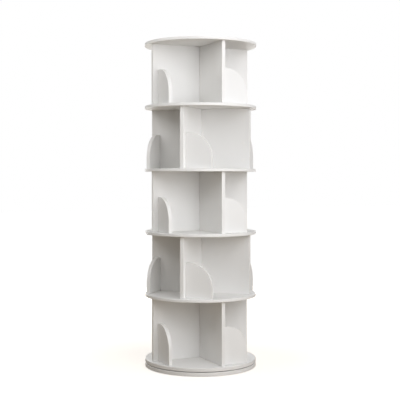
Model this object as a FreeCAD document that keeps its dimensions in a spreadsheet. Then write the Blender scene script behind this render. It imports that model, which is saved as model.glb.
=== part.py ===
import FreeCAD, Part
import math
import os
import Sketcher

# Revolving bookcase: five tiers of crossed dividers between round boards, which turn as one column on
# a ball-bearing swivel let into the double disc at the bottom.
#
# Millimetres, +Z up. The origin is on the floor, on the axis that the column turns about. The arms of
# tiers 1, 3 and 5 lie along X and Y, and those of tiers 2 and 4 halfway between them.

TIERS = 5
ARMS = 4
PADS = 6
BALLS = 8

# Flat sides that stand for a round section on the small pieces that repeat many times.
SCREW_SIDES = 6
BALL_SIDES = 8
CAGE_SIDES = 16

# Driving sizes: cell name, value, what it is.
SIZES = [
    ("disc_radius", 230, "rim of every round board"),
    ("base_thickness", 15, "base disc and turntable disc"),
    ("shelf_thickness", 12, "shelf discs and top disc"),
    ("swivel_gap", 3, "open gap between base disc and turntable disc"),
    ("first_clear_height", 257, "from floor to ceiling of tier 1"),
    ("clear_height", 245, "from floor to ceiling of the other tiers"),
    ("board_thickness", 15, "dividers"),
    ("divider_inset", 15, "divider end inside the rim"),
    ("lap_clearance", 0.1, "each side of the slot where two dividers cross"),
    ("stop_thickness", 15, "book stops"),
    ("stop_setback", 22.5, "outer face of a stop inside the divider end"),
    ("stop_reach", 110, "stop, from the divider face to its free edge"),
    ("stop_headroom", 103, "open height above a stop"),
    ("stop_flat", 13, "level part of a stop's top, beside the divider"),
    ("stop_rise", 25, "least straight part of a stop's free edge"),
    ("pad_side", 25, "square foot pads"),
    ("pad_height", 2, "foot pads"),
    ("pad_inset", 30, "pad centre inside the rim"),
    ("screw_radius", 2.5, "shank of the board screws"),
    ("screw_head_radius", 5, "countersunk head of the board screws"),
    ("screw_head_depth", 2.5, "countersunk head of the board screws"),
    ("screw_bite", 28, "length of a board screw inside a divider"),
    ("screw_ring", 120, "board screws from the axis"),
    ("plate_side", 180, "square swivel plates"),
    ("plate_thickness", 2.5, "swivel plates"),
    ("plate_clearance", 1, "around a swivel plate in its recess"),
    ("plate_screw_inset", 12, "swivel screws from two edges of the plate"),
    ("plate_screw_radius", 2, "shank of the swivel screws"),
    ("plate_screw_head_radius", 3.5, "head of the swivel screws"),
    ("plate_screw_head_depth", 1.5, "head of the swivel screws"),
    ("plate_screw_bite", 8, "length of a swivel screw inside a disc"),
    ("access_hole_radius", 8, "hole through the base disc to reach the upper swivel screws"),
    ("race_radius", 60, "circle of the ball centres"),
    ("race_depth", 1.3, "V-shaped ball race"),
    ("race_slope", 30, "degrees from level, each side of the race"),
    ("ball_radius", 3, "bearing balls"),
    ("ball_clearance", 0.05, "between a ball and its races"),
    ("pocket_clearance", 0.2, "around a ball in the cage"),
    ("cage_width", 14, "ball cage, across the ring"),
    ("cage_thickness", 1.6, "ball cage"),
    ("pivot_radius", 8, "rivet that the upper swivel plate turns on"),
    ("pivot_flare", 2.5, "how much wider the pivot's hole is at the top of the upper plate"),
    ("pivot_clearance", 0.3, "between the pivot and the upper plate"),
]

UP = FreeCAD.Vector(0, 0, 1)
ALONG = FreeCAD.Vector(1, 0, 0)

# Heights, as formulas on the sheet. The swivel is centred on the open gap.
BASE_TOP = "Size.pad_height + Size.base_thickness"
TURNTABLE_BOTTOM = f"{BASE_TOP} + Size.swivel_gap"
TURNTABLE_TOP = f"{TURNTABLE_BOTTOM} + Size.base_thickness"
SWIVEL_MIDDLE = f"{BASE_TOP} + Size.swivel_gap / 2"
TIER_PITCH = "(Size.clear_height + Size.shelf_thickness)"

DIVIDER_REACH = "(Size.disc_radius - Size.divider_inset)"

# A ball touches the sloping sides of its race, so the slope sets how far its centre stands off the
# plate, and that sets how deep the two plates are let into their discs.
RACE_SLOPE = "Size.race_slope * 1deg"
BALL_STANDOFF = f"((Size.ball_radius + Size.ball_clearance) / cos({RACE_SLOPE}) - Size.race_depth)"
RACE_HALF_WIDTH = f"Size.race_depth / tan({RACE_SLOPE})"
RECESS_DEPTH = f"({BALL_STANDOFF} + Size.plate_thickness - Size.swivel_gap / 2)"
FLARE_SLOPE = "(Size.pivot_flare / Size.plate_thickness)"
PLATE_SCREW_REACH = "(Size.plate_side / 2 - Size.plate_screw_inset) * sqrt(2)"


def clear_height(tier):
    """Formula for the open height of a tier."""
    return "Size.first_clear_height" if tier == 1 else "Size.clear_height"


def floor_height(tier):
    """Formula for the height of the board top that a tier stands on."""
    if tier == 1:
        return TURNTABLE_TOP
    first_floor = f"{TURNTABLE_TOP} + Size.first_clear_height + Size.shelf_thickness"
    return f"{first_floor} + {tier - 2} * {TIER_PITCH}"


def ceiling_height(tier):
    """Formula for the height of the underside of the board above a tier."""
    return f"{floor_height(tier)} + {clear_height(tier)}"


def floor_thickness(tier):
    """Formula for the thickness of the board that a tier stands on."""
    return "Size.base_thickness" if tier == 1 else "Size.shelf_thickness"


def arm_angles(tier):
    """Directions of a tier's arms in degrees. Each tier is turned half a step from its neighbours."""
    step = 360 / ARMS
    first = 0 if tier % 2 else step / 2
    return [first + step * arm for arm in range(ARMS)]


def make_sheet(doc):
    """The spreadsheet that drives every size: name, value and meaning in each row."""
    sheet = doc.addObject("Spreadsheet::Sheet", "Size")
    for row, (name, value, meaning) in enumerate(SIZES, start=1):
        sheet.set(f"A{row}", name)
        sheet.set(f"B{row}", str(value))
        sheet.set(f"C{row}", meaning)
        sheet.setAlias(f"B{row}", name)
    doc.recompute()


def bind(thing, formulas):
    """Ties properties of an object to formulas on the sheet."""
    for name, formula in formulas.items():
        thing.setExpression(name, formula)


def place(thing, angle, distance, height, turn=None):
    """Sets a thing at a distance from the axis in the direction of an angle, turned to face it."""
    facing = FreeCAD.Rotation(UP, angle)
    if turn:
        facing = facing * turn
    thing.Placement = FreeCAD.Placement(FreeCAD.Vector(), facing)
    bind(thing, {
        "Placement.Base.x": f"({distance}) * cos({angle}deg)",
        "Placement.Base.y": f"({distance}) * sin({angle}deg)",
        "Placement.Base.z": height,
    })
    return thing


def outline(body, name, role, corners):
    """Closed sketch on an origin plane of a body, each corner at its own two formulas."""
    sketch = body.newObject("Sketcher::SketchObject", name)
    plane = next(part for part in body.Origin.OriginFeatures if part.Role == role)
    sketch.AttachmentSupport = [(plane, "")]
    sketch.MapMode = "FlatFace"
    count = len(corners)
    # The lines start as a small regular polygon, and the distances below pull each corner to its place.
    turns = [2 * math.pi * k / count for k in range(count)]
    start = [FreeCAD.Vector(math.cos(turn), math.sin(turn), 0) for turn in turns]
    ends = start[1:] + start[:1]
    sketch.addGeometry([Part.LineSegment(a, b) for a, b in zip(start, ends)])
    for k, (across, upward) in enumerate(corners):
        sketch.addConstraint(Sketcher.Constraint("Coincident", k, 2, (k + 1) % count, 1))
        for kind, formula in (("DistanceX", across), ("DistanceY", upward)):
            distance = sketch.addConstraint(Sketcher.Constraint(kind, -1, 1, k, 1, 1.0))
            bind(sketch, {f"Constraints[{distance}]": formula})
    return sketch


def polygon(body, name, sides, radius):
    """Sketch of a regular polygon on the ground plane of a body, its corners at a radius."""
    turns = [f"{360 / sides * corner}deg" for corner in range(sides)]
    corners = [(f"({radius}) * cos({turn})", f"({radius}) * sin({turn})") for turn in turns]
    return outline(body, name, "XY_Plane", corners)


def faces_of(block):
    """Names of the level and the upright faces of an upright block."""
    level, upright = [], []
    for number, face in enumerate(block.Faces, start=1):
        (level if abs(face.normalAt(0, 0).z) > 0.5 else upright).append(f"Face{number}")
    return level, upright


def circle(body, name, radius, distance="0"):
    """Sketch of a circle on the ground plane of a body, its centre at a distance along X."""
    sketch = body.newObject("Sketcher::SketchObject", name)
    plane = next(part for part in body.Origin.OriginFeatures if part.Role == "XY_Plane")
    sketch.AttachmentSupport = [(plane, "")]
    sketch.MapMode = "FlatFace"
    sketch.addGeometry(Part.Circle(FreeCAD.Vector(1, 0, 0), UP, 1))
    size = sketch.addConstraint(Sketcher.Constraint("Radius", 0, 1.0))
    across = sketch.addConstraint(Sketcher.Constraint("DistanceX", -1, 1, 0, 3, 1.0))
    upward = sketch.addConstraint(Sketcher.Constraint("DistanceY", -1, 1, 0, 3, 1.0))
    bind(sketch, {
        f"Constraints[{size}]": radius,
        f"Constraints[{across}]": distance,
        f"Constraints[{upward}]": "0",
    })
    return sketch


def square(body, name, half_side):
    """Sketch of a square about the axis on the ground plane of a body."""
    low, high = f"-({half_side})", half_side
    return outline(body, name, "XY_Plane", [(low, low), (high, low), (high, high), (low, high)])


def pad(body, name, sketch, length, midplane=False):
    """Boss on a sketch, upwards or to both sides of it."""
    feature = body.newObject("PartDesign::Pad", name)
    feature.Profile = sketch
    feature.Midplane = midplane
    bind(feature, {"Length": length})
    return feature


def pocket(body, name, sketch, depth, start):
    """Recess of a sketch's shape, from a height in the body upwards."""
    sketch.AttachmentOffset = FreeCAD.Placement()
    bind(sketch, {"AttachmentOffset.Base.z": start})
    feature = body.newObject("PartDesign::Pocket", name)
    feature.Profile = sketch
    feature.Reversed = True
    bind(feature, {"Length": depth})
    return feature


def turned(body, name, kind, sketch):
    """Revolution or groove of a sketch, a full turn about the axis."""
    feature = body.newObject(f"PartDesign::{kind}", name)
    feature.Profile = sketch
    feature.ReferenceAxis = (sketch, ["V_Axis"])
    feature.Angle = 360
    return feature


def cut(doc, label, base, tools):
    """A piece with the shapes of other pieces taken out of it."""
    tool = tools[0]
    if len(tools) > 1:
        tool = doc.addObject("Part::Compound", f"{label}_tools")
        tool.Links = tools
    piece = doc.addObject("Part::Cut", label)
    piece.Base = base
    piece.Tool = tool
    return piece


def group(doc, label, copies):
    """Identical pieces that share one name."""
    piece = doc.addObject("Part::Compound", label)
    piece.Links = copies
    return piece


def copy_of(doc, label, original):
    """Another piece of the same kind."""
    link = doc.addObject("App::Link", label)
    link.LinkedObject = original
    return link


def make_screw(doc, label, shank, head, head_depth, length):
    """Countersunk screw that points up, with the top of its head on the ground plane."""
    body = doc.addObject("PartDesign::Body", label)
    block = pad(body, f"{label}_head_block", polygon(body, f"{label}_rim", SCREW_SIDES, head), head_depth)
    doc.recompute()
    level, upright = faces_of(block.Shape)
    cone = body.newObject("PartDesign::Draft", f"{label}_head")
    cone.Base = (block, upright)
    cone.NeutralPlane = (block, level[:1])
    # The flat sides lie inside the circle of their corners, so the taper is that of the flats.
    flat = f"cos({180 / SCREW_SIDES}deg)"
    bind(cone, {"Angle": f"atan(({head} - {shank}) * {flat} / ({head_depth}))"})
    pad(body, f"{label}_shank", polygon(body, f"{label}_section", SCREW_SIDES, shank), length)
    return body


def make_board_screws(doc):
    """One long screw for the turntable disc, which is thicker, and one for the shelf discs."""
    screws = {}
    for board in ("base", "shelf"):
        length = f"Size.{board}_thickness + Size.screw_bite"
        screws[board] = make_screw(
            doc, f"{board}_board_screw", "Size.screw_radius", "Size.screw_head_radius",
            "Size.screw_head_depth", length)
    return screws


def make_tier_screws(doc, tier, screws):
    """Screws of one tier: one up into each arm from the board below, one down from the board above."""
    copies = []
    upside_down = FreeCAD.Rotation(ALONG, 180)
    below = f"{floor_height(tier)} - {floor_thickness(tier)}"
    above = f"{ceiling_height(tier)} + Size.shelf_thickness"
    for arm, angle in enumerate(arm_angles(tier), start=1):
        rising = copy_of(doc, f"tier_{tier}_lower_screw_{arm}", screws["base" if tier == 1 else "shelf"])
        copies.append(place(rising, angle, "Size.screw_ring", below))
        falling = copy_of(doc, f"tier_{tier}_upper_screw_{arm}", screws["shelf"])
        copies.append(place(falling, angle, "Size.screw_ring", above, upside_down))
    return group(doc, f"tier_{tier}_screws", copies)


def make_plate_screws(doc):
    """Swivel screws: four down into the base disc and four up into the turntable disc."""
    screw = make_screw(
        doc, "plate_screw", "Size.plate_screw_radius", "Size.plate_screw_head_radius",
        "Size.plate_screw_head_depth", "Size.plate_thickness + Size.plate_screw_bite")
    upside_down = FreeCAD.Rotation(ALONG, 180)
    sides = {
        "lower": (0, f"{SWIVEL_MIDDLE} - {BALL_STANDOFF}", upside_down),
        "upper": (45, f"{SWIVEL_MIDDLE} + {BALL_STANDOFF}", None),
    }
    groups = []
    for side, (first, height, turn) in sides.items():
        copies = []
        for corner in range(4):
            link = copy_of(doc, f"swivel_{side}_screw_{corner + 1}", screw)
            copies.append(place(link, first + 90 * corner, PLATE_SCREW_REACH, height, turn))
        groups.append(group(doc, f"swivel_{side}_screws", copies))
    return groups


def make_foot_pads(doc):
    """Square pads under the base disc, on a ring near its rim."""
    block = doc.addObject("Part::Box", "foot_pad")
    bind(block, {
        "Length": "Size.pad_side",
        "Width": "Size.pad_side",
        "Height": "Size.pad_height",
        "Placement.Base.x": "-Size.pad_side / 2",
        "Placement.Base.y": "-Size.pad_side / 2",
    })
    centred = group(doc, "foot_pad_centred", [block])
    copies = []
    for number in range(PADS):
        link = copy_of(doc, f"foot_pad_{number + 1}", centred)
        copies.append(place(link, 360 / PADS * number, "Size.disc_radius - Size.pad_inset", "0"))
    return group(doc, "foot_pads", copies)


def make_base_disc(doc, screws):
    """Fixed disc on the floor, with a square recess for the lower swivel plate and an access hole."""
    body = doc.addObject("PartDesign::Body", "base_disc_blank")
    pad(body, "base_disc_board", circle(body, "base_disc_rim", "Size.disc_radius"), "Size.base_thickness")
    half_side = "Size.plate_side / 2 + Size.plate_clearance"
    recess = square(body, "base_recess_outline", half_side)
    pocket(body, "base_recess", recess, RECESS_DEPTH, f"Size.base_thickness - {RECESS_DEPTH}")
    # The recess is turned an eighth of a turn by the body, so the hole below lies beside it, under
    # the upper plate's screws.
    hole = circle(body, "access_hole_outline", "Size.access_hole_radius", PLATE_SCREW_REACH)
    pocket(body, "access_hole", hole, "Size.base_thickness", "0")
    place(body, 45, "0", "Size.pad_height")
    return cut(doc, "base_disc", body, [screws])


def make_turntable_disc(doc, plate_screws, tier_screws):
    """Lowest disc of the column, with a square recess underneath for the upper swivel plate."""
    body = doc.addObject("PartDesign::Body", "turntable_disc_blank")
    rim = circle(body, "turntable_rim", "Size.disc_radius")
    pad(body, "turntable_board", rim, "Size.base_thickness")
    recess = square(body, "turntable_recess_outline", "Size.plate_side / 2 + Size.plate_clearance")
    pocket(body, "turntable_recess", recess, RECESS_DEPTH, "0")
    place(body, 0, "0", TURNTABLE_BOTTOM)
    return cut(doc, "turntable_disc", body, [plate_screws, tier_screws])


def make_shelf_disc(doc, label, height, screws):
    """Round board between two tiers, or on top of the last one."""
    body = doc.addObject("PartDesign::Body", f"{label}_blank")
    pad(body, f"{label}_board", circle(body, f"{label}_rim", "Size.disc_radius"), "Size.shelf_thickness")
    place(body, 0, "0", height)
    return cut(doc, label, body, screws)


def make_divider(doc, tier, name, angle, screws):
    """Upright board across the tier. Divider a is slotted from above and b from below, so they cross."""
    tall = clear_height(tier)
    half_slot = "(Size.board_thickness / 2 + Size.lap_clearance)"
    open_end, closed_end = (tall, "0") if name == "a" else ("0", tall)
    corners = [
        (f"-{DIVIDER_REACH}", closed_end),
        (DIVIDER_REACH, closed_end),
        (DIVIDER_REACH, open_end),
        (half_slot, open_end),
        (half_slot, f"{tall} / 2"),
        (f"-{half_slot}", f"{tall} / 2"),
        (f"-{half_slot}", open_end),
        (f"-{DIVIDER_REACH}", open_end),
    ]
    label = f"tier_{tier}_divider_{name}"
    body = doc.addObject("PartDesign::Body", f"{label}_blank")
    sketch = outline(body, f"{label}_outline", "XZ_Plane", corners)
    pad(body, f"{label}_board", sketch, "Size.board_thickness", midplane=True)
    place(body, angle, "0", floor_height(tier))
    return cut(doc, label, body, [screws])


def far_top_edge(shape):
    """Name of the edge at the highest and outermost corner of a stop's board."""
    box = shape.BoundBox
    corner = FreeCAD.Vector(box.Center.x, box.YMax, box.ZMax)
    distances = [(edge.CenterOfMass - corner).Length for edge in shape.Edges]
    return f"Edge{distances.index(min(distances)) + 1}"


def make_stop(doc, tier, arm, angle):
    """Book stop across an arm, on its left side seen from the axis, with a quarter-round free corner."""
    label = f"tier_{tier}_stop_{arm}"
    near = "Size.board_thickness / 2"
    far = f"{near} + Size.stop_reach"
    tall = f"({clear_height(tier)} - Size.stop_headroom)"
    body = doc.addObject("PartDesign::Body", label)
    face = outline(body, f"{label}_outline", "YZ_Plane", [(near, "0"), (far, "0"), (far, tall), (near, tall)])
    board = pad(body, f"{label}_board", face, "Size.stop_thickness")
    doc.recompute()
    corner = body.newObject("PartDesign::Fillet", f"{label}_corner")
    corner.Base = (board, [far_top_edge(board.Shape)])
    bind(corner, {"Radius": f"min(Size.stop_reach - Size.stop_flat; {tall} - Size.stop_rise)"})
    inner_face = f"{DIVIDER_REACH} - Size.stop_setback - Size.stop_thickness"
    return place(body, angle, inner_face, floor_height(tier))


def race_corners(plate_face, race_bottom):
    """Corners of the V-shaped race that is turned into a swivel plate."""
    return [
        (f"Size.race_radius - {RACE_HALF_WIDTH}", plate_face),
        (f"Size.race_radius + {RACE_HALF_WIDTH}", plate_face),
        ("Size.race_radius", race_bottom),
    ]


def make_lower_plate(doc, screws):
    """Steel plate with an upward race, and in its middle the flared rivet that holds the upper plate."""
    body = doc.addObject("PartDesign::Body", "lower_plate_blank")
    pad(body, "lower_plate_sheet", square(body, "lower_plate_square", "Size.plate_side / 2"),
        "Size.plate_thickness")
    race = race_corners("Size.plate_thickness", "Size.plate_thickness - Size.race_depth")
    turned(body, "lower_race", "Groove", outline(body, "lower_race_outline", "XZ_Plane", race))
    flare_bottom = f"Size.plate_thickness + 2 * {BALL_STANDOFF}"
    flare_height = "Size.plate_thickness - Size.pivot_clearance"
    pivot_top = f"{flare_bottom} + {flare_height}"
    pivot = [
        ("0", "Size.plate_thickness"),
        ("Size.pivot_radius", "Size.plate_thickness"),
        ("Size.pivot_radius", flare_bottom),
        (f"Size.pivot_radius + {FLARE_SLOPE} * ({flare_height})", pivot_top),
        ("0", pivot_top),
    ]
    turned(body, "pivot", "Revolution", outline(body, "pivot_outline", "XZ_Plane", pivot))
    place(body, 45, "0", f"{SWIVEL_MIDDLE} - {BALL_STANDOFF} - Size.plate_thickness")
    return cut(doc, "swivel_lower_plate", body, [screws])


def make_upper_plate(doc, screws):
    """Steel plate with a downward race and a flared hole that turns round the pivot."""
    body = doc.addObject("PartDesign::Body", "upper_plate_blank")
    pad(body, "upper_plate_sheet", square(body, "upper_plate_square", "Size.plate_side / 2"),
        "Size.plate_thickness")
    turned(body, "upper_race", "Groove",
           outline(body, "upper_race_outline", "XZ_Plane", race_corners("0", "Size.race_depth")))
    hole_radius = "Size.pivot_radius + Size.pivot_clearance"
    hole = [
        ("0", "0"),
        (hole_radius, "0"),
        (f"{hole_radius} + Size.pivot_flare", "Size.plate_thickness"),
        ("0", "Size.plate_thickness"),
    ]
    turned(body, "pivot_hole", "Groove", outline(body, "pivot_hole_outline", "XZ_Plane", hole))
    place(body, 0, "0", f"{SWIVEL_MIDDLE} + {BALL_STANDOFF}")
    return cut(doc, "swivel_upper_plate", body, [screws])


def make_balls(doc):
    """Bearing balls, each a solid of flat facets whose corners lie on the ball's surface."""
    # The corners lie on four level rings, the inner two and the outer two at these latitudes.
    low, high = "22.5deg", "67.5deg"
    body = doc.addObject("PartDesign::Body", "ball")
    girth = polygon(body, "ball_girth", BALL_SIDES, f"Size.ball_radius * cos({low})")
    block = pad(body, "ball_block", girth, f"2 * Size.ball_radius * sin({high})", midplane=True)
    doc.recompute()
    level, upright = faces_of(block.Shape)
    caps = body.newObject("PartDesign::Chamfer", "ball_caps")
    caps.Base = (block, level)
    caps.ChamferType = "Two distances"
    bind(caps, {
        "Size": f"Size.ball_radius * (sin({high}) - sin({low}))",
        "Size2": f"Size.ball_radius * (cos({low}) - cos({high})) * cos({180 / BALL_SIDES}deg)",
    })
    copies = []
    for number in range(BALLS):
        link = copy_of(doc, f"ball_{number + 1}", body)
        copies.append(place(link, 360 / BALLS * number, "Size.race_radius", SWIVEL_MIDDLE))
    return group(doc, "swivel_balls", copies)


def make_cage(doc):
    """Flat nylon ring between the plates, with a pocket round each ball."""
    height = f"{SWIVEL_MIDDLE} - Size.cage_thickness / 2"
    ring = {}
    for side, sign in (("outer", "+"), ("inner", "-")):
        ring[side] = doc.addObject("Part::Prism", f"cage_{side}_edge")
        ring[side].Polygon = CAGE_SIDES
        bind(ring[side], {
            "Circumradius": f"Size.race_radius {sign} Size.cage_width / 2",
            "Height": "Size.cage_thickness",
            "Placement.Base.z": height,
        })
    hole = doc.addObject("Part::Prism", "cage_pocket")
    hole.Polygon = BALL_SIDES
    bind(hole, {"Circumradius": "Size.ball_radius + Size.pocket_clearance", "Height": "Size.cage_thickness"})
    pockets = []
    for number in range(BALLS):
        link = copy_of(doc, f"cage_pocket_{number + 1}", hole)
        pockets.append(place(link, 360 / BALLS * number, "Size.race_radius", height))
    return cut(doc, "swivel_cage", ring["outer"], [ring["inner"]] + pockets)


def make_swivel(doc):
    """The bearing between the two bottom discs: plates, balls, cage and screws."""
    lower_screws, upper_screws = make_plate_screws(doc)
    return {
        "swivel_lower_screws": lower_screws,
        "swivel_upper_screws": upper_screws,
        "swivel_lower_plate": make_lower_plate(doc, lower_screws),
        "swivel_upper_plate": make_upper_plate(doc, upper_screws),
        "swivel_cage": make_cage(doc),
        "swivel_balls": make_balls(doc),
    }


def make_tier(doc, tier, screws):
    """Two crossed dividers and a book stop on each of their four arms."""
    angles = arm_angles(tier)
    pieces = [
        make_divider(doc, tier, "a", angles[0], screws),
        make_divider(doc, tier, "b", angles[1], screws),
    ]
    for arm, angle in enumerate(angles, start=1):
        pieces.append(make_stop(doc, tier, arm, angle))
    return pieces


def make_bookcase(doc):
    """Every sub-part of the bookcase, from the floor up."""
    swivel = make_swivel(doc)
    board_screws = make_board_screws(doc)
    tier_screws = [make_tier_screws(doc, tier, board_screws) for tier in range(1, TIERS + 1)]
    pieces = [
        make_foot_pads(doc),
        make_base_disc(doc, swivel["swivel_lower_screws"]),
        make_turntable_disc(doc, swivel["swivel_upper_screws"], tier_screws[0]),
    ]
    pieces += swivel.values()
    for tier in range(1, TIERS + 1):
        screws = tier_screws[tier - 1]
        pieces += make_tier(doc, tier, screws)
        if tier < TIERS:
            both = [screws, tier_screws[tier]]
            pieces.append(make_shelf_disc(doc, f"shelf_disc_{tier}", ceiling_height(tier), both))
        else:
            pieces.append(make_shelf_disc(doc, "top_disc", ceiling_height(tier), [screws]))
    return pieces + tier_screws


def check(doc, pieces):
    """Stops if an object of the document failed or a piece isn't made of sound solids."""
    for thing in doc.Objects:
        if "Invalid" in thing.State or "Error" in thing.State:
            raise RuntimeError(f"{thing.Label} was not made: {thing.State}")
    for piece in pieces:
        shape = piece.Shape
        if shape.isNull() or not shape.isValid() or not shape.Solids:
            raise RuntimeError(f"{piece.Label} is not a sound solid")


def main():
    doc = FreeCAD.newDocument("revolving_bookcase")
    make_sheet(doc)
    pieces = make_bookcase(doc)
    doc.recompute()
    check(doc, pieces)
    os.makedirs("parts", exist_ok=True)
    for piece in pieces:
        piece.Shape.exportStep(os.path.join("parts", f"{piece.Label}.step"))
        print(piece.Label, len(piece.Shape.Solids), round(piece.Shape.Volume))


main()
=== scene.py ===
# %% [markdown]
# # A revolving bookcase in white board
#
# The real thing is a column of round boards and crossed dividers that turns on a flat ball bearing between
# its two lowest discs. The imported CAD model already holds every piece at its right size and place. This
# notebook gives the boards the soft edges and the satin white finish that a workshop gives them, adds the
# small covers over the screw heads, and sets up a studio round the bookcase.

# %% Load the frame
import math

import bpy
import numpy as np
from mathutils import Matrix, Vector


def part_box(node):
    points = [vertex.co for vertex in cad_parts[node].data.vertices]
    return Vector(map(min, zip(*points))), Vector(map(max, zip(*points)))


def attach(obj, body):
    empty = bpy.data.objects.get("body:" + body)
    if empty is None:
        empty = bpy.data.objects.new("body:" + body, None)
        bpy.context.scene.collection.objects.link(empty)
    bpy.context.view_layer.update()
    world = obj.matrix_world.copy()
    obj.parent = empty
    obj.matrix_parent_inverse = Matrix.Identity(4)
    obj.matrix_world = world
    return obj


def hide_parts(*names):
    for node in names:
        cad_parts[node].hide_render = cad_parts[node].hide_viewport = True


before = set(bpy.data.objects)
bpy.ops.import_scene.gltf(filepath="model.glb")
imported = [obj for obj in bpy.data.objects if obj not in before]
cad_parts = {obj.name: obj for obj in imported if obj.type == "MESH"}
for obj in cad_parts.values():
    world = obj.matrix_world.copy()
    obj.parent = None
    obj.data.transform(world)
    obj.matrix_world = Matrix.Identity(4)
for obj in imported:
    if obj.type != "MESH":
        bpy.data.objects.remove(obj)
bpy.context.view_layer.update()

# %% [markdown]
# ## Where the boards are
#
# Every height is read from the frame, so a piece made here always lands on the board that carries it. The
# widths that a box can't tell, such as how far a book stop reaches, are written in millimetres, the unit
# that a joiner would use, and one small function turns them to metres. The boards stand at angles round the
# axis, so another gives the axes of whatever points outwards there.

# %% Heights from the frame
TIERS = 5
ARMS = 4
BOARDS = ["turntable_disc"] + [f"shelf_disc_{n}" for n in range(1, TIERS)] + ["top_disc"]
FLOORS = [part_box(name)[1].z for name in BOARDS[:-1]]
CEILINGS = [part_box(name)[0].z for name in BOARDS[1:]]

print("Floors of the tiers:", [round(z, 3) for z in FLOORS])
print("Clear heights:", [round(c - f, 3) for f, c in zip(FLOORS, CEILINGS)])

# %% Lengths and directions


def mm(length):
    """Millimetres as metres."""
    return length * 0.001


def arm_angles(tier):
    """Directions of a tier's arms in radians. Each tier is turned half a step from its neighbours."""
    step = 2 * math.pi / ARMS
    first = 0 if tier % 2 else step / 2
    return [first + step * arm for arm in range(ARMS)]


def turned(angle):
    """Three axes turned round the vertical: outwards at an angle, to the left of that, and up."""
    cos, sin = math.cos(angle), math.sin(angle)
    return np.array([(cos, sin, 0), (-sin, cos, 0), (0, 0, 1)])


print("Arms of tiers 1 and 2 in degrees:", [[round(math.degrees(a)) for a in arm_angles(n)] for n in (1, 2)])

# %% [markdown]
# ## One surface for every board
#
# A disc, a divider and a book stop are all the same kind of thing: a flat outline with a thickness, whose
# edges were sanded round before it was coated. So one surface serves them all. Its first parameter walks
# round the outline, and its second goes over the edge from the lower face to the upper one. A cube with a
# Bevel modifier would do for the dividers, but not for the quarter-round stops, and a formula also gives the
# exact normals, which keeps the large flat faces free of the smudges that averaged normals leave.

# %% Outline with rounded corners


def rounded_outline(corners, radii, steps):
    """Points and outward normals along a closed outline whose corners are tangent arcs.

    At a corner the path turns by an angle t. The arc starts r * tan(|t| / 2) before the corner, its centre
    lies r to the inner side of the turn, and the point and the normal both turn with it, from 0 to t.
    """
    corners = np.asarray(corners, float)
    radii = np.broadcast_to(np.asarray(radii, float), len(corners))
    leaving = np.roll(corners, -1, 0) - corners
    leaving /= np.linalg.norm(leaving, axis=1, keepdims=True)
    coming = np.roll(leaving, 1, 0)
    cross = coming[:, 0] * leaving[:, 1] - coming[:, 1] * leaving[:, 0]
    turn = np.arctan2(cross, (coming * leaving).sum(1))
    outward = np.stack([coming[:, 1], -coming[:, 0]], 1)
    start = corners - coming * (radii * np.tan(np.abs(turn) / 2))[:, None]
    centre = start - outward * (radii * np.sign(turn))[:, None]
    angle = turn[:, None] * np.linspace(0, 1, steps)
    cos, sin = np.cos(angle), np.sin(angle)
    x, y = outward[:, :1], outward[:, 1:]
    normals = np.stack([x * cos - y * sin, x * sin + y * cos], 2)
    points = centre[:, None] + normals * (radii * np.sign(turn))[:, None, None]
    return points.reshape(-1, 2), normals.reshape(-1, 2)


def circle_outline(radius, steps):
    """Points and outward normals of a circle: (cos u, sin u), the points times the radius."""
    u = np.linspace(0, 2 * math.pi, steps, endpoint=False)
    normals = np.stack([np.cos(u), np.sin(u)], 1)
    return normals * radius, normals


sample, _ = rounded_outline([(0, 0), (1, 0), (1, 1), (0, 1)], 0.1, steps=4)
print("A square with rounded corners has", len(sample), "points and spans", np.ptp(sample, axis=0).round(6))

# %% Board surface
JOINT = mm(0.3)


def board_surface(outline, thickness, rounding, steps=4):
    """Grid of points and normals of a board, row by row from its lower face over the edge to its upper one.

    With a running from -90 to 90 degrees, a point lies inside the outline by r * (1 - cos a), and its
    normal is cos a times the outline's normal plus sin a straight up. The lower half of the rows stands at
    r + r * sin a and the upper half at T - r + r * sin a, so the strip between them is the flat edge. The
    first and last rows repeat their neighbours a hair further in, which leaves room for a joint line.
    """
    points, normals = outline
    lower = np.linspace(-math.pi / 2, 0, steps + 1)
    lower = np.concatenate([lower[:1], lower])
    a = np.concatenate([lower, -lower[::-1]])
    base = np.repeat([rounding, thickness - rounding], steps + 2)
    inset = rounding * (1 - np.cos(a))
    inset[[0, -1]] += JOINT
    flat = points[None] - inset[:, None, None] * normals[None]
    height = np.broadcast_to((base + rounding * np.sin(a))[:, None, None], flat.shape[:2] + (1,))
    sideways = np.cos(a)[:, None, None] * normals[None]
    upward = np.broadcast_to(np.sin(a)[:, None, None], height.shape)
    return np.concatenate([flat, height], 2), np.concatenate([sideways, upward], 2)


sample, _ = board_surface(circle_outline(mm(50), 8), mm(15), mm(2))
print("Rows of a 15 mm board, heights in mm:", (sample[:, 0, 2] / mm(1)).round(2))

# %% [markdown]
# ## From a grid to a piece
#
# A mesh needs its points in one list, and faces that name their corners by number. On a grid the numbers
# follow from row and column, so whole arrays of quads come at once, and the flat faces at both ends are one
# polygon each. Pieces that repeat, such as balls or covers, are one solid set down at many places. The last
# step gives the mesh its exact normals and its materials, hangs it on its body and hides the CAD nodes it
# stands for.

# %% Grid to solid


def grid_faces(rows, around):
    """Quads between neighbouring rows of a grid that closes on itself, as an array of corner numbers."""
    row, column = np.meshgrid(np.arange(rows - 1), np.arange(around), indexing="ij")
    after = (column + 1) % around
    here, beside = row * around + column, row * around + after
    return np.stack([here, beside, beside + around, here + around], -1).reshape(-1, 4)


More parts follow.
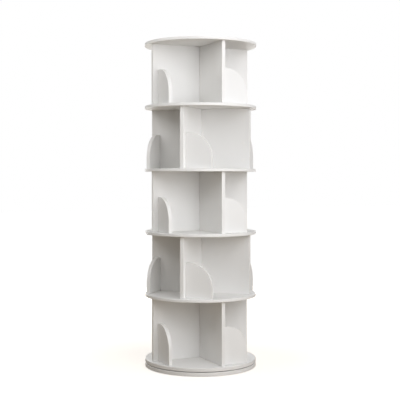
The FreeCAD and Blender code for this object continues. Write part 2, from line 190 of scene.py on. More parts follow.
def closed_solid(grid, later=()):
    """Points, normals, faces and bands of a board's grid, whose first and last rows get flat faces.

    A band is a number for each face that says which material it has. The flat faces are band 0, the quads
    next to the board's first and last rows are band 1, and the quads between those are band 2. Rows that
    follow the board's own, as in a recess, have the bands that later gives, and so has the last flat face.
    """
    points, normals = grid
    rows, around = points.shape[:2]
    first_face = np.arange(around)[::-1]
    last_face = np.arange(around) + (rows - 1) * around
    faces = grid_faces(rows, around).tolist() + [first_face.tolist(), last_face.tolist()]
    gaps = [1] + [2] * (rows - len(later) - 3) + [1, *later]
    bands = np.append(np.repeat(gaps, around), [0, later[-1] if later else 0])
    return points.reshape(-1, 3), normals.reshape(-1, 3), faces, bands


print("Faces of a board of 8 sides:", len(closed_solid(board_surface(circle_outline(1, 8), 1, 0.1))[2]))

# %% Solids in their places


def joined(*solids):
    """Several solids as one, with their corners numbered on."""
    points, normals, faces, bands = zip(*solids)
    starts = np.cumsum([0] + [len(each) for each in points[:-1]]).tolist()
    faces = [[corner + start for corner in face] for start, each in zip(starts, faces) for face in each]
    return np.concatenate(points), np.concatenate(normals), faces, np.concatenate(bands)


def set_down(solid, places):
    """The same solid at several places as one solid.

    A place is an origin and three axes. A point lands at the origin plus x times the first axis, y times
    the second and z times the third.
    """
    points, normals, faces, bands = solid
    return joined(*((points @ axes + origin, normals @ axes, faces, bands) for origin, axes in places))


def evenly_round(count, radius, height=0.0):
    """Places evenly round the axis, the first of them along X, whose axes point outwards, left and up."""
    turns = [turned(2 * math.pi * number / count) for number in range(count)]
    return [(axes[0] * radius + axes[2] * height, axes) for axes in turns]


print("Six places on a circle of 1:", [origin.round(3).tolist() for origin, _ in evenly_round(6, 1.0)])

# %% Solid to mesh


def make_piece(name, body, nodes, solid, materials):
    """A mesh object that rides on a body, stands for CAD nodes, and has its normals from the formula.

    Each band has the material of its number, or the last one there is.
    """
    points, normals, faces, bands = solid
    mesh = bpy.data.meshes.new(name)
    mesh.from_pydata(points.tolist(), [], faces)
    for material in materials:
        mesh.materials.append(material)
    mesh.polygons.foreach_set("material_index", np.minimum(bands, len(materials) - 1).astype(np.int32))
    mesh.polygons.foreach_set("use_smooth", np.ones(len(faces), bool))
    mesh.normals_split_custom_set_from_vertices(normals.tolist())
    mesh.update()
    piece = bpy.data.objects.new(name, mesh)
    bpy.context.scene.collection.objects.link(piece)
    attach(piece, body)
    if nodes:
        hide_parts(*nodes)
    return piece


# %% [markdown]
# ## Colour and node helpers
#
# Colours are written as the sRGB hex values that a paint chart gives. Blender's shaders work in linear light,
# so one function converts them. A second one adds a shader node with its settings and links in one line.

# %% Colour and node helpers


def linear(hex_colour):
    """An sRGB hex colour as linear red, green, blue and alpha."""
    srgb = np.array([int(hex_colour[i:i + 2], 16) for i in (1, 3, 5)]) / 255
    light = np.where(srgb <= 0.04045, srgb / 12.92, ((srgb + 0.055) / 1.055) ** 2.4)
    return (*light.tolist(), 1.0)


def node(tree, kind, settings=None, **inputs):
    """Adds a node. Settings are its own properties, and inputs are values or sockets to link.

    An input is named as on the node, with _ for a space.
    """
    made = tree.nodes.new(kind)
    for name, value in (settings or {}).items():
        setattr(made, name, value)
    for name, value in inputs.items():
        socket = made.inputs[name.replace("_", " ")]
        if isinstance(value, bpy.types.NodeSocket):
            tree.links.new(value, socket)
        else:
            socket.default_value = value
    return made


# A Mix node has sockets of one name for each type of value, so those for colours are found by number.
MIX_A = 6
MIX_B = 7
MIX_RESULT = 2


def new_material(name):
    """An empty node material, with its tree, output node and object coordinates in metres."""
    material = bpy.data.materials.new(name)
    material.use_nodes = True
    tree = material.node_tree
    tree.nodes.clear()
    output = node(tree, "ShaderNodeOutputMaterial")
    where = node(tree, "ShaderNodeTexCoord").outputs["Object"]
    return material, tree, output, where


def cells_of(size):
    """Scale of a noise or cell texture whose features are a given size in metres."""
    return 1 / size


print("White in linear light:", linear("#FFFFFF"), "and mid grey:", round(linear("#808080")[0], 3))

# %% [markdown]
# ## White board
#
# The boards are pressed fibre board under a satin white melamine film, with a strip of the same white
# glued round their edges. The film copies the press plate, which has a faint pebble of about half a
# millimetre, too fine to see from across a room, so it is drawn at 3 mm. What the eye gets is a soft,
# slightly uneven sheen rather than a mirror, and a white that is a touch warm. Where strip and film meet,
# a hairline of glue shows.

# %% Melamine film and edge strip
FILM_WHITE = "#EAE9E7"
FILM_SHADE = "#E5E4E1"
STRIP_WHITE = "#E9E7E4"
GLUE = "#C9C3B8"
PEBBLE = mm(3)
PEBBLE_HEIGHT = mm(0.02)
CLOUD = mm(180)
SHEEN_SPREAD = 0.04
FIBRE = mm(1.5)
FIBRE_HEIGHT = mm(0.1)


def coated_board(name, light, shade, roughness):
    """Satin white coating: a cloudy tone, an uneven sheen and a fine pebble."""
    material, tree, output, where = new_material(name)
    cloud = node(tree, "ShaderNodeTexNoise", Vector=where, Scale=cells_of(CLOUD), Detail=3.0)
    tone = node(tree, "ShaderNodeMix", {"data_type": "RGBA"}, Factor=cloud.outputs["Fac"])
    tone.inputs[MIX_A].default_value = linear(light)
    tone.inputs[MIX_B].default_value = linear(shade)
    sheen = node(tree, "ShaderNodeMapRange", Value=cloud.outputs["Fac"], From_Min=0.3, From_Max=0.7,
                 To_Min=roughness - SHEEN_SPREAD, To_Max=roughness + SHEEN_SPREAD)
    pebble = node(tree, "ShaderNodeTexNoise", Vector=where, Scale=cells_of(PEBBLE), Detail=2.0)
    bump = node(tree, "ShaderNodeBump", Strength=0.6, Distance=PEBBLE_HEIGHT, Height=pebble.outputs["Fac"])
    shader = node(tree, "ShaderNodeBsdfPrincipled", IOR=1.5, Base_Color=tone.outputs[MIX_RESULT],
                  Roughness=sheen.outputs["Result"], Normal=bump.outputs["Normal"])
    tree.links.new(shader.outputs["BSDF"], output.inputs["Surface"])
    return material


def raw_board(name, light, dark):
    """Bare pressed fibre: brown, dull, and flecked by the fibres."""
    material, tree, output, where = new_material(name)
    fibres = node(tree, "ShaderNodeTexNoise", Vector=where, Scale=cells_of(FIBRE), Detail=6.0, Roughness=0.7)
    tone = node(tree, "ShaderNodeMix", {"data_type": "RGBA"}, Factor=fibres.outputs["Fac"])
    tone.inputs[MIX_A].default_value = linear(light)
    tone.inputs[MIX_B].default_value = linear(dark)
    bump = node(tree, "ShaderNodeBump", Strength=0.7, Distance=FIBRE_HEIGHT, Height=fibres.outputs["Fac"])
    shader = node(tree, "ShaderNodeBsdfPrincipled", IOR=1.5, Base_Color=tone.outputs[MIX_RESULT],
                  Roughness=0.9, Normal=bump.outputs["Normal"])
    tree.links.new(shader.outputs["BSDF"], output.inputs["Surface"])
    return material


# Pressed against a satin plate, the film throws back a broad, soft sheen.
melamine = coated_board("satin_white_melamine", FILM_WHITE, FILM_SHADE, roughness=0.6)
# Melted glue squeezes out as a hairline and turns beige, which draws a thin line along each edge.
glue_line = coated_board("edge_glue_line", GLUE, GLUE, roughness=0.6)
# The strip is rolled smoother than the film, so it takes the light a little more sharply.
edge_strip = coated_board("white_edge_strip", STRIP_WHITE, FILM_SHADE, roughness=0.5)
# Where the router has cut, torn fibres show as a dull, flecked brown.
fibreboard = raw_board("raw_fibreboard", light="#B99A72", dark="#9A7B55")
BOARD_FINISH = [melamine, glue_line, edge_strip, fibreboard]
print("Board finishes:", [material.name for material in BOARD_FINISH])

# %% [markdown]
# ## Round boards
#
# Each disc is cut on a router and its edge is rounded by about 2 mm, which is what catches a bright line of
# light along the rim. A Cylinder with a Bevel modifier has the same shape. The board surface is used
# instead, because it also marks where the edge strip and its glue line are.

# %% Shelf discs and top disc
DISC_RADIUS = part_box("top_disc")[1].x
DISC_STEPS = 160
DISC_ROUNDING = mm(2)
UPRIGHT = np.eye(3)
FACING_DOWN = np.diag([1, -1, -1])


def disc_surface(thickness):
    """Grid of a round board, from its lower face to its upper one."""
    return board_surface(circle_outline(DISC_RADIUS, DISC_STEPS), thickness, DISC_ROUNDING)


def make_disc(name, body, solid, height, axes):
    """A round board in the place of its CAD node, with its origin at a height on the axis."""
    solid = set_down(solid, [((0, 0, height), axes)])
    return make_piece(f"{name}_board", body, [name], solid, BOARD_FINISH)


discs = []
for name in BOARDS[1:]:
    low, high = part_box(name)
    discs.append(make_disc(name, "column", closed_solid(disc_surface(high.z - low.z)), low.z, UPRIGHT))
print("Discs:", len(discs), "of", len(discs[0].data.polygons), "faces")

# %% [markdown]
# ## Milled recesses and the access hole
#
# The two lowest discs are milled. A square recess in each takes a plate of the swivel, and the base has a
# round hole to reach the upper plate's screws through. Inside a cut the bare brown board shows. A Boolean
# modifier could make both cuts, but it loses the exact normals. So the recess is a few more rows of the same
# grid, with a square outline in place of the circle, and the hole is a ring of points that two of the faces
# are split round.

# %% Rows of a wall
ARRIS = mm(0.3)


def wall_rows(outline, grown, heights, upward, sign):
    """Rows of points and normals of a wall, each row the outline grown by a width and set at a height.

    A normal is upward times straight up plus sign * (1 - |upward|) times the outline's own normal, so a
    sign of 1 makes an outer wall and -1 the wall of a hole.
    """
    points, normals = outline
    grown, heights, upward = (np.array(values, float)[:, None, None] for values in (grown, heights, upward))
    flat = points[None] + grown * normals[None]
    sideways = sign * (1 - np.abs(upward)) * normals[None]
    column = np.ones(flat.shape[:2] + (1,))
    return np.concatenate([flat, heights * column], 2), np.concatenate([sideways, upward * column], 2)


def through_wall(outline, thickness, sign, band=0):
    """A wall from a board's lower face to its upper one, with broken edges and no flat faces."""
    arris = -sign * ARRIS
    heights = [0, ARRIS, thickness - ARRIS, thickness]
    points, normals = wall_rows(outline, [arris, 0, 0, arris], heights, [-1, 0, 0, 1], sign)
    faces = grid_faces(*points.shape[:2])[:, ::sign]
    return points.reshape(-1, 3), normals.reshape(-1, 3), faces.tolist(), np.full(len(faces), band)


# %% Recess
RAW = BOARD_FINISH.index(fibreboard)


def recessed_solid(surface, outline, top, depth):
    """A board's solid with a recess in its upper face.

    The grid goes on over the upper face, over a broken edge, down to the recess and a little way in.
    """
    grown = [ARRIS, 0, 0, -ARRIS]
    heights = [top, top - ARRIS, top - depth + ARRIS, top - depth]
    recess = wall_rows(outline, grown, heights, [1, 0, 0, 1], -1)
    grid = [np.concatenate(rows) for rows in zip(surface, recess)]
    return closed_solid(grid, later=[0, RAW, RAW, RAW])


# %% Access hole
HOLE_STEPS = 32


def split_round(face, ring, first, second):
    """Two faces in place of one that a ring of points opens. Face and ring both run anticlockwise.

    The faces meet along a line from the corner called first to the ring's first point, and along one from
    the corner called second to the ring's middle point.
    """
    half = len(ring) // 2
    start = face.index(first)
    turned = face[start:] + face[:start]
    middle = turned.index(second)
    ring = ring + ring[:1]
    return [turned[:middle + 1] + ring[half::-1], turned[middle:] + turned[:1] + ring[:half - 1:-1]]


def with_hole(solid, over, under, thickness, radius, distance):
    """A solid with a round hole through two of its faces, out along the first axis.

    Over is the number of a quad of the upper face, and under that of the lower face's polygon.
    """
    ring, ring_normals = circle_outline(radius, HOLE_STEPS)
    wall = through_wall((ring + (distance, 0), ring_normals), thickness, -1, RAW)
    points, normals, faces, bands = joined(solid, wall)
    lower = list(range(len(solid[0]), len(solid[0]) + HOLE_STEPS))
    upper = list(range(len(points) - HOLE_STEPS, len(points)))
    quad, polygon = faces[over], faces[under]
    opened = split_round(quad, upper, quad[1], quad[2])
    # Seen from below, the ring runs the other way.
    opened += split_round(polygon, lower[:1] + lower[:0:-1], polygon[-1], polygon[len(polygon) // 2 - 1])
    faces = [face for number, face in enumerate(faces) if number not in (over, under)] + opened
    bands = np.append(np.delete(bands, [over, under]), np.zeros(len(opened), int))
    return points, normals, faces, bands


# %% Base disc and turntable disc
PLATE_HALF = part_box("swivel_upper_plate")[1].x
PLATE_CLEARANCE = mm(1)
PLATE_SCREW_INSET = mm(12)
RECESS_CORNER = mm(3)
ACCESS_RADIUS = mm(8)
EIGHTH = math.pi / 4


def recessed_disc(thickness, depth):
    """A round board with the swivel's square recess in its upper face."""
    side = PLATE_HALF + PLATE_CLEARANCE
    corners = [(side, side), (-side, side), (-side, -side), (side, -side)]
    square = rounded_outline(corners, RECESS_CORNER, DISC_STEPS // len(corners))
    return recessed_solid(disc_surface(thickness), square, thickness, depth)


# The turntable's recess is underneath, so that disc is made face down.
low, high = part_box("turntable_disc")
solid = recessed_disc(high.z - low.z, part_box("swivel_upper_plate")[1].z - low.z)
discs.append(make_disc("turntable_disc", "column", solid, high.z, FACING_DOWN))

# The base's recess is turned by an eighth of a turn, and the hole lies beside it. The quad that the hole
# opens is the last one between the board's own rows and the recess's. The lower face is the last but one.
low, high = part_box("base_disc")
solid = recessed_disc(high.z - low.z, high.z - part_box("swivel_lower_plate")[0].z)
over = len(disc_surface(high.z - low.z)[0]) * DISC_STEPS - 1
under = len(solid[2]) - 2
screw_reach = (PLATE_HALF - PLATE_SCREW_INSET) * math.sqrt(2)
solid = with_hole(solid, over, under, high.z - low.z, ACCESS_RADIUS, screw_reach)
discs.append(make_disc("base_disc", "base", solid, low.z, turned(EIGHTH)))
print("Milled discs:", [disc.name for disc in discs[-2:]])

# %% [markdown]
# ## Crossed dividers
#
# Two boards cross on the axis of each tier. One is slotted from above and the other from below, so they slide
# into each other like the dividers of a bottle crate. Seen from above, each tier is turned by an eighth of a
# turn from the next.

# %% Divider shape
BOARD = mm(15)
LAP_CLEARANCE = mm(0.1)
DIVIDER_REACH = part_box("tier_1_divider_a")[1].x
EDGE_ROUNDING = mm(1.2)
CORNER = mm(1.6)


def arm_axes(angle):
    """Axes of a board that stands along an arm: along the arm, up, and out of its right-hand face."""
    along, left, up = turned(angle)
    return np.array([along, up, -left])


def divider_corners(height, slotted_from_above):
    """Corners of a divider seen from its face, anticlockwise from the lower left."""
    reach, half = DIVIDER_REACH, BOARD / 2 + LAP_CLEARANCE
    corners = np.array([
        (-reach, 0), (reach, 0), (reach, height), (half, height),
        (half, height / 2), (-half, height / 2), (-half, height), (-reach, height),
    ])
    if slotted_from_above:
        return corners
    # Turned upside down, the same corners run clockwise, so they are read backwards.
    return (corners * (1, -1) + (0, height))[::-1]


print("Board and slot in mm:", round(BOARD / mm(1), 1), round((BOARD + 2 * LAP_CLEARANCE) / mm(1), 1))

# %% Dividers


def make_divider(tier, letter, angle):
    """A slotted divider in the place of its CAD node."""
    floor, height = FLOORS[tier - 1], CEILINGS[tier - 1] - FLOORS[tier - 1]
    outline = rounded_outline(divider_corners(height, letter == "a"), CORNER, steps=4)
    axes = arm_axes(angle)
    origin = np.array((0, 0, floor)) - axes[2] * BOARD / 2
    solid = set_down(closed_solid(board_surface(outline, BOARD, EDGE_ROUNDING)), [(origin, axes)])
    name = f"tier_{tier}_divider_{letter}"
    return make_piece(f"{name}_board", "column", [name], solid, BOARD_FINISH)


dividers = []
for tier in range(1, TIERS + 1):
    for letter, angle in zip("ab", arm_angles(tier)):
        dividers.append(make_divider(tier, letter, angle))
print("Dividers:", len(dividers))

# %% [markdown]
# ## Book stops
#
# A low board stands across each arm and keeps the books from sliding out. Its free top corner is a large
# quarter round, so that a hand can reach in over it. The outline is the same function as before, with one
# large radius and three small ones.

# %% Book stops
STOP_INNER_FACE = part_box("tier_1_stop_1")[0].x
STOP_REACH = mm(110)
STOP_HEADROOM = mm(103)
STOP_FLAT = mm(13)


def stop_axes(angle):
    """Axes of a board that stands across an arm: to the arm's left, up, and outwards along the arm."""
    outwards, left, up = turned(angle)
    return np.array([left, up, outwards])


def make_stop(tier, arm, angle):
    """A quarter-round book stop in the place of its CAD node."""
    floor = FLOORS[tier - 1]
    height = CEILINGS[tier - 1] - floor - STOP_HEADROOM
    near, far = BOARD / 2, BOARD / 2 + STOP_REACH
    corners = [(near, 0), (far, 0), (far, height), (near, height)]
    radii = [CORNER, CORNER, STOP_REACH - STOP_FLAT, CORNER]
    outline = rounded_outline(corners, radii, steps=24)
    axes = stop_axes(angle)
    origin = np.array((0, 0, floor)) + axes[2] * STOP_INNER_FACE
    solid = set_down(closed_solid(board_surface(outline, BOARD, EDGE_ROUNDING)), [(origin, axes)])
    name = f"tier_{tier}_stop_{arm}"
    return make_piece(f"{name}_board", "column", [name], solid, BOARD_FINISH)


stops = []
for tier in range(1, TIERS + 1):
    for arm, angle in enumerate(arm_angles(tier), start=1):
        stops.append(make_stop(tier, arm, angle))
        low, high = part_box(f"tier_{tier}_stop_{arm}")
        # An object's box lists its lowest corner first and the opposite one seventh.
        made = stops[-1].bound_box
        error = max((Vector(made[0]) - low).length, (Vector(made[6]) - high).length)
        # The rounded edges may cut a little off the corners of the box.
        assert error < EDGE_ROUNDING, f"{stops[-1].name} is {error * 1000:.2f} mm from its CAD node"
print("Book stops:", len(stops))

# %% [markdown]
# ## Covers over the screw heads
#
# Flat-pack boards are held by countersunk screws, and each head is hidden under a thin round sticker of white
# vinyl. One stands over each screw that comes through a board, above and below, and two mark where a
# divider is screwed to the edge of a stop behind it. They are turned shapes, so a profile carried round a
# circle makes them, and they stand proud of the board by less than a millimetre.

# %% Screw covers
COVER_RADIUS = mm(6.5)
COVER_THICKNESS = mm(0.6)
COVER_EDGE = mm(0.25)
COVER_STEPS = 32
SCREW_RING = mm(120)
STOP_SCREW_HEIGHTS = (mm(35), mm(105))

# Calendered vinyl is a little glossier than the film that it is meant to match.
vinyl = coated_board("white_vinyl_sticker", "#EAE9E6", "#E6E4E0", roughness=0.45)
cover_outline = circle_outline(COVER_RADIUS, COVER_STEPS)
cover = closed_solid(board_surface(cover_outline, COVER_THICKNESS, COVER_EDGE, steps=3))


def covers_of(tier):
    """Places of a tier's covers: over the screws in the boards above and below it and beside its stops."""
    below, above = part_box(BOARDS[tier - 1])[0].z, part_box(BOARDS[tier])[1].z
    places = []
    for angle in arm_angles(tier):
        along, left, up = turned(angle)
        # Under the turntable disc the narrow gap hides the screws, so nobody covers them.
        if tier > 1:
            places.append((along * SCREW_RING + (0, 0, below), FACING_DOWN))
        places.append((along * SCREW_RING + (0, 0, above), UPRIGHT))
        # These lie on the right-hand face of the arm, seen from the axis, opposite the stop.
        for height in STOP_SCREW_HEIGHTS:
            centre = along * (STOP_INNER_FACE + BOARD / 2) - left * BOARD / 2
            places.append((centre + up * (FLOORS[tier - 1] + height), arm_axes(angle)))
    return places


covers = []
for tier in range(1, TIERS + 1):
    solid = set_down(cover, covers_of(tier))
    covers.append(make_piece(f"tier_{tier}_screw_covers", "column", [], solid, [vinyl]))
print("Sets of screw covers:", len(covers))

# %% [markdown]
# ## Swivel
#
# The bearing is hidden between the two lowest discs and shows only as a dark line. Its plates are pressed
# from steel and zinc plated, which gives a grey metal with a soft, slightly blotched gloss. The CAD shapes
# of plates and screws stay, and only their surfaces change. A Principled shader alone would look like
# plastic, so the gloss of the metals varies a little, and the nylon and rubber have a fine grain.

# %% Metals
# The crystals of the zinc are far finer than this, but blotches of their size wouldn't show.
BLOTCH = mm(4)
GLOSS_SPREAD = 0.25


def metal(name, colour, roughness):
    """Metal whose gloss varies in blotches."""
    material, tree, output, where = new_material(name)
    cloud = node(tree, "ShaderNodeTexNoise", Vector=where, Scale=cells_of(BLOTCH), Detail=3.0)
    gloss = node(tree, "ShaderNodeMapRange", Value=cloud.outputs["Fac"], From_Min=0.3, From_Max=0.7,
                 To_Min=roughness * (1 - GLOSS_SPREAD), To_Max=roughness * (1 + GLOSS_SPREAD))
    shader = node(tree, "ShaderNodeBsdfPrincipled", Base_Color=linear(colour), Metallic=1.0,
                  Roughness=gloss.outputs["Result"])
    tree.links.new(shader.outputs["BSDF"], output.inputs["Surface"])
    return material


# Zinc plating is a fine crystalline coat, so the eye gets a soft grey gloss.
zinc = metal("zinc_plated_steel", "#B9BBBD", roughness=0.38)
# The screws are tumbled after plating, which brightens them.
screw_zinc = metal("zinc_plated_screw", "#B4B5B5", roughness=0.3)
# Bearing balls are lapped to a mirror, so they show the screens around them as small bright spots.
chrome_steel = metal("polished_ball_steel", "#CFD0D2", roughness=0.12)

finishes = {"swivel_lower_plate": zinc, "swivel_upper_plate": zinc}
finishes.update({name: screw_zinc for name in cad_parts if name.endswith("_screws")})
for name, material in finishes.items():
    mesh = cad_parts[name].data
    mesh.materials.clear()
    mesh.materials.append(material)
print("CAD nodes that keep their shape:", len(finishes))

# %% Nylon and rubber


def fine_grained(name, colour, ior, roughness, grain, depth):
    """Nylon or foam rubber, with a grain of a given size and depth."""
    material, tree, output, where = new_material(name)
    pores = node(tree, "ShaderNodeTexNoise", Vector=where, Scale=cells_of(grain), Detail=4.0)
    bump = node(tree, "ShaderNodeBump", Strength=0.8, Distance=depth, Height=pores.outputs["Fac"])
    shader = node(tree, "ShaderNodeBsdfPrincipled", IOR=ior, Base_Color=linear(colour), Roughness=roughness,
                  Normal=bump.outputs["Normal"])
    tree.links.new(shader.outputs["BSDF"], output.inputs["Surface"])
    return material


# Nylon comes out of its mould milky and half matt.
nylon = fine_grained("moulded_nylon", "#E6E3DA", ior=1.53, roughness=0.5, grain=mm(1.5), depth=mm(0.03))
# Foam rubber is open-pored, and its pores take nearly all the light away.
rubber = fine_grained("black_foam_rubber", "#1B1B1C", ior=1.52, roughness=0.85, grain=mm(1.2), depth=mm(0.15))
print("Made:", nylon.name, "and", rubber.name)

# %% [markdown]
# ## Balls
#
# Eight steel balls run in the race of the plates. The CAD model gives them flat sides to keep its facets few,
# so round ones stand for them here. A UV Sphere would do as well. The grid is used because it goes through
# the same functions as the boards, whose flat ends close it in place of poles.

# %% Balls
BALLS = 8
BALL_RADIUS = mm(3)
BALL_ROWS = 15
BALL_STEPS = 24
RACE_RADIUS = mm(60)


def ball_surface(radius, rows, around):
    """Grid of a sphere: radius times (cos v cos u, cos v sin u, sin v), with small flat ends at the poles."""
    v = np.linspace(-math.pi / 2, math.pi / 2, rows + 2)[1:-1, None]
    u = np.linspace(0, 2 * math.pi, around, endpoint=False)[None]
    normals = np.stack([np.cos(v) * np.cos(u), np.cos(v) * np.sin(u), np.sin(v) + 0 * u], 2)
    return normals * radius, normals


low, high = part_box("swivel_balls")
ball = closed_solid(ball_surface(BALL_RADIUS, BALL_ROWS, BALL_STEPS))
solid = set_down(ball, evenly_round(BALLS, RACE_RADIUS, (low.z + high.z) / 2))
make_piece("swivel_ball_set", "bearing_cage", ["swivel_balls"], solid, [chrome_steel])
print("Balls:", BALLS, "of", len(ball[2]), "faces")

# %% [markdown]
# ## Ball cage
#
# A flat ring of nylon with a round pocket for each ball keeps the balls apart. A Boolean modifier could cut
# the pockets, but it leaves ragged faces and loses the exact normals. So each wall, outside, inside and round
# a pocket, is a grid, and the two flat faces are cut along the lines from the axis through the balls. Each
# face between two balls is then one polygon, which runs along half of both their pockets.

# %% Cage
CAGE_HALF_WIDTH = mm(7)
POCKET_CLEARANCE = mm(0.2)
POCKET_STEPS = 24
SECTOR_STEPS = 12


def cage_solid(height):
    """Points, normals, faces and bands of a flat ring with a round pocket at every ball."""
    around = BALLS * SECTOR_STEPS
    rim = through_wall(circle_outline(RACE_RADIUS + CAGE_HALF_WIDTH, around), height, 1)
    bore = through_wall(circle_outline(RACE_RADIUS - CAGE_HALF_WIDTH, around), height, -1)
    pocket = through_wall(circle_outline(BALL_RADIUS + POCKET_CLEARANCE, POCKET_STEPS), height, -1)
    pockets = set_down(pocket, evenly_round(BALLS, RACE_RADIUS))
    points, normals, faces, bands = joined(rim, bore, pockets)

    # Corner numbers by row and step, and for the pockets by ball, row and step.
    rim_at = np.arange(len(rim[0])).reshape(-1, around)
    bore_at = rim_at + rim_at.size
    pocket_at = np.arange(2 * rim_at.size, len(points)).reshape(BALLS, -1, POCKET_STEPS)
    half = POCKET_STEPS // 2
    # The lower face runs backwards, so that it points down.
    for row, direction in ((0, -1), (-1, 1)):
        for ball in range(BALLS):
            arc = np.arange(ball * SECTOR_STEPS, (ball + 1) * SECTOR_STEPS + 1) % around
            next_pocket = pocket_at[(ball + 1) % BALLS, row, -np.arange(half + 1)]
            this_pocket = pocket_at[ball, row, half::-1]
            loop = [rim_at[row, arc], next_pocket, bore_at[row, arc[::-1]], this_pocket]
            faces.append(np.concatenate(loop)[::direction].tolist())
    return points, normals, faces, np.append(bands, np.zeros(2 * BALLS, int))


low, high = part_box("swivel_cage")
solid = set_down(cage_solid(high.z - low.z), [((0, 0, low.z), UPRIGHT)])
cage = make_piece("swivel_cage_ring", "bearing_cage", ["swivel_cage"], solid, [nylon])
print("Cage with", BALLS, "pockets and", len(cage.data.polygons), "faces")

# %% [markdown]
# ## Foot pads
#
# Six squares of black foam rubber under the base disc keep it off the floor. They are die-cut, so their
# corners are barely rounded.

# %% Foot pads
PADS = 6
PAD_SIDE = mm(25)
PAD_RING = DISC_RADIUS - mm(30)
PAD_CORNER = mm(1.5)
PAD_EDGE = mm(0.3)

half = PAD_SIDE / 2
corners = [(-half, -half), (half, -half), (half, half), (-half, half)]
outline = rounded_outline(corners, PAD_CORNER, steps=4)
pad = closed_solid(board_surface(outline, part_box("foot_pads")[1].z, PAD_EDGE))
solid = set_down(pad, evenly_round(PADS, PAD_RING))
make_piece("foot_pad_set", "base", ["foot_pads"], solid, [rubber])
print("Foot pads:", PADS)

# %% [markdown]
# ## Studio floor
#
# The floor is plain warm grey paper. To the camera it also glows, weakly under the bookcase, so that the
# contact shadow stays, and at a full white further out, so that no horizon shows. The glow reaches nothing
# else, so what the floor throws back at the bookcase stays at a plain level.

# %% Floor
FLOOR_SIZE = 30
FLOOR_PAPER = "#BDB09E"
GLOW_NEAR = 0.74
GLOW_START = mm(400)
GLOW_END = mm(1300)

floor_material, tree, output, where = new_material("studio_floor")
seen = node(tree, "ShaderNodeLightPath").outputs["Is Camera Ray"]
paper = node(tree, "ShaderNodeBsdfDiffuse", Color=linear(FLOOR_PAPER))
distance = node(tree, "ShaderNodeVectorMath", {"operation": "LENGTH"}, Vector=where)
rise = node(tree, "ShaderNodeMapRange", Value=distance.outputs["Value"], From_Min=GLOW_START,
            From_Max=GLOW_END, To_Min=GLOW_NEAR, To_Max=1.0)
glow = node(tree, "ShaderNodeEmission", Color=(1, 1, 1, 1), Strength=rise.outputs["Result"])
bright = node(tree, "ShaderNodeAddShader")
tree.links.new(paper.outputs["BSDF"], bright.inputs[0])
tree.links.new(glow.outputs["Emission"], bright.inputs[1])
mix = node(tree, "ShaderNodeMixShader", Fac=seen)
tree.links.new(paper.outputs["BSDF"], mix.inputs[1])
tree.links.new(bright.outputs["Shader"], mix.inputs[2])
tree.links.new(mix.outputs["Shader"], output.inputs["Surface"])

floor_mesh = bpy.data.meshes.new("studio_floor")
half = FLOOR_SIZE / 2
corners = [(-half, -half, 0), (half, -half, 0), (half, half, 0), (-half, half, 0)]
floor_mesh.from_pydata(corners, [], [(0, 1, 2, 3)])
floor_mesh.materials.append(floor_material)
floor = bpy.data.objects.new("studio_floor", floor_mesh)
bpy.context.scene.collection.objects.link(floor)
print("Floor glow:", GLOW_NEAR, "within", GLOW_START, "m, and 1.0 from", GLOW_END, "m")

# %% [markdown]
# ## World
#
# The world stands for the walls of the studio. It throws a weak even light on everything. The camera sees
# it as plain white, and so does whatever mirrors its surroundings, which gives the zinc and the satin film
# something to reflect. An image of a real room would light the bookcase too, but would tint it.

# %% World
AMBIENT = 0.06

world = bpy.data.worlds.new("studio")
bpy.context.scene.world = world
world.use_nodes = True
tree = world.node_tree
tree.nodes.clear()
path = node(tree, "ShaderNodeLightPath").outputs
seen = node(tree, "ShaderNodeMath", {"operation": "MAXIMUM"})
tree.links.new(path["Is Camera Ray"], seen.inputs[0])
tree.links.new(path["Is Glossy Ray"], seen.inputs[1])
clear = node(tree, "ShaderNodeMath", {"operation": "MAXIMUM"})
tree.links.new(seen.outputs["Value"], clear.inputs[0])
tree.links.new(path["Is Transmission Ray"], clear.inputs[1])
fill = node(tree, "ShaderNodeBackground", Color=linear("#FFFFFF"), Strength=AMBIENT)
white = node(tree, "ShaderNodeBackground", Color=linear("#FFFFFF"), Strength=1.0)
mix = node(tree, "ShaderNodeMixShader", Fac=clear.outputs["Value"])
tree.links.new(fill.outputs["Background"], mix.inputs[1])
tree.links.new(white.outputs["Background"], mix.inputs[2])
tree.links.new(mix.outputs["Shader"], node(tree, "ShaderNodeOutputWorld").inputs["Surface"])
print("Ambient light:", AMBIENT)

# %% [markdown]
# ## Camera
#
# A long lens nearly four metres away keeps upright edges close to parallel, as furniture pictures do. The
# camera stands a little above the middle of the bookcase and looks down by less than two degrees. Its
# direction is one angle round the axis, and the lamps are placed by their angle beside it.

# %% Camera
VIEW_ANGLE = -25
CAMERA_DISTANCE = 3.732
CAMERA_HEIGHT = 0.7945
CAMERA_TILT = 1.632
LENS = 80.95
AXIS_COLUMN = 200.45
IMAGE = 400


def toward_camera(angle):
    """Unit direction on the floor from the axis to a place at an angle beside the camera, in degrees."""
    turn = math.radians(VIEW_ANGLE + angle)
    return Vector((math.sin(turn), -math.cos(turn), 0))


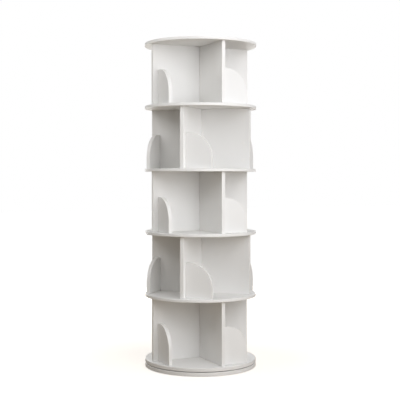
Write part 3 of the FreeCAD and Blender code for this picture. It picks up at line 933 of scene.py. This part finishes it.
camera_data = bpy.data.cameras.new("camera")
camera_data.lens = LENS
camera_data.shift_x = (IMAGE / 2 - AXIS_COLUMN) / IMAGE
camera = bpy.data.objects.new("camera", camera_data)
camera.location = toward_camera(0) * CAMERA_DISTANCE + Vector((0, 0, CAMERA_HEIGHT))
camera.rotation_euler = (math.radians(90 - CAMERA_TILT), 0, math.radians(VIEW_ANGLE))
bpy.context.scene.collection.objects.link(camera)
bpy.context.scene.camera = camera
print("Camera at", [round(value, 3) for value in camera.location])

# %% [markdown]
# ## Lamps
#
# The main light is a screen to the right of the camera that is taller than the bookcase, so it reaches into
# the compartments and leaves only soft shadows. A small lamp near the camera lifts the fronts, and two at
# the left keep the boards there from going dark. A low, wide one lights the back. The last hangs straight
# above and reaches only the top board, because that board shades all the others.

# %% Lamps


def softbox(name, angle, distance, height, width, tall, power, aim=1.0, colour="#FFFFFF"):
    """A flat rectangular lamp at an angle beside the camera, aimed at a height on the axis."""
    data = bpy.data.lights.new(name, "AREA")
    data.shape = "RECTANGLE"
    data.size = width
    data.size_y = tall
    data.energy = power
    data.color = linear(colour)[:3]
    lamp = bpy.data.objects.new(name, data)
    lamp.location = toward_camera(angle) * distance + Vector((0, 0, height))
    gaze = Vector((0, 0, aim)) - lamp.location
    lamp.rotation_euler = gaze.to_track_quat("-Z", "Y").to_euler()
    bpy.context.scene.collection.objects.link(lamp)
    return lamp


lamps = [
    softbox("screen", angle=40, distance=2.4, height=1.7, width=3.2, tall=3.2, power=63, aim=0.8,
            colour="#FBFCFF"),
    softbox("front", angle=20, distance=1.6, height=1.2, width=1, tall=1, power=6.5, colour="#F8FAFF"),
    softbox("near_left", angle=-48, distance=1.6, height=1.9, width=1, tall=1, power=10),
    softbox("far_left", angle=-85, distance=1.6, height=1.4, width=1, tall=1, power=4),
    softbox("back", angle=-170, distance=2.6, height=0.5, width=3.6, tall=0.9, power=54, aim=0.65),
    softbox("top", angle=0, distance=0, height=2.3, width=0.5, tall=0.5, power=7),
]
print("Lamps:", {lamp.name: lamp.data.energy for lamp in lamps})

bpy.context.scene.view_settings.view_transform = "Standard"
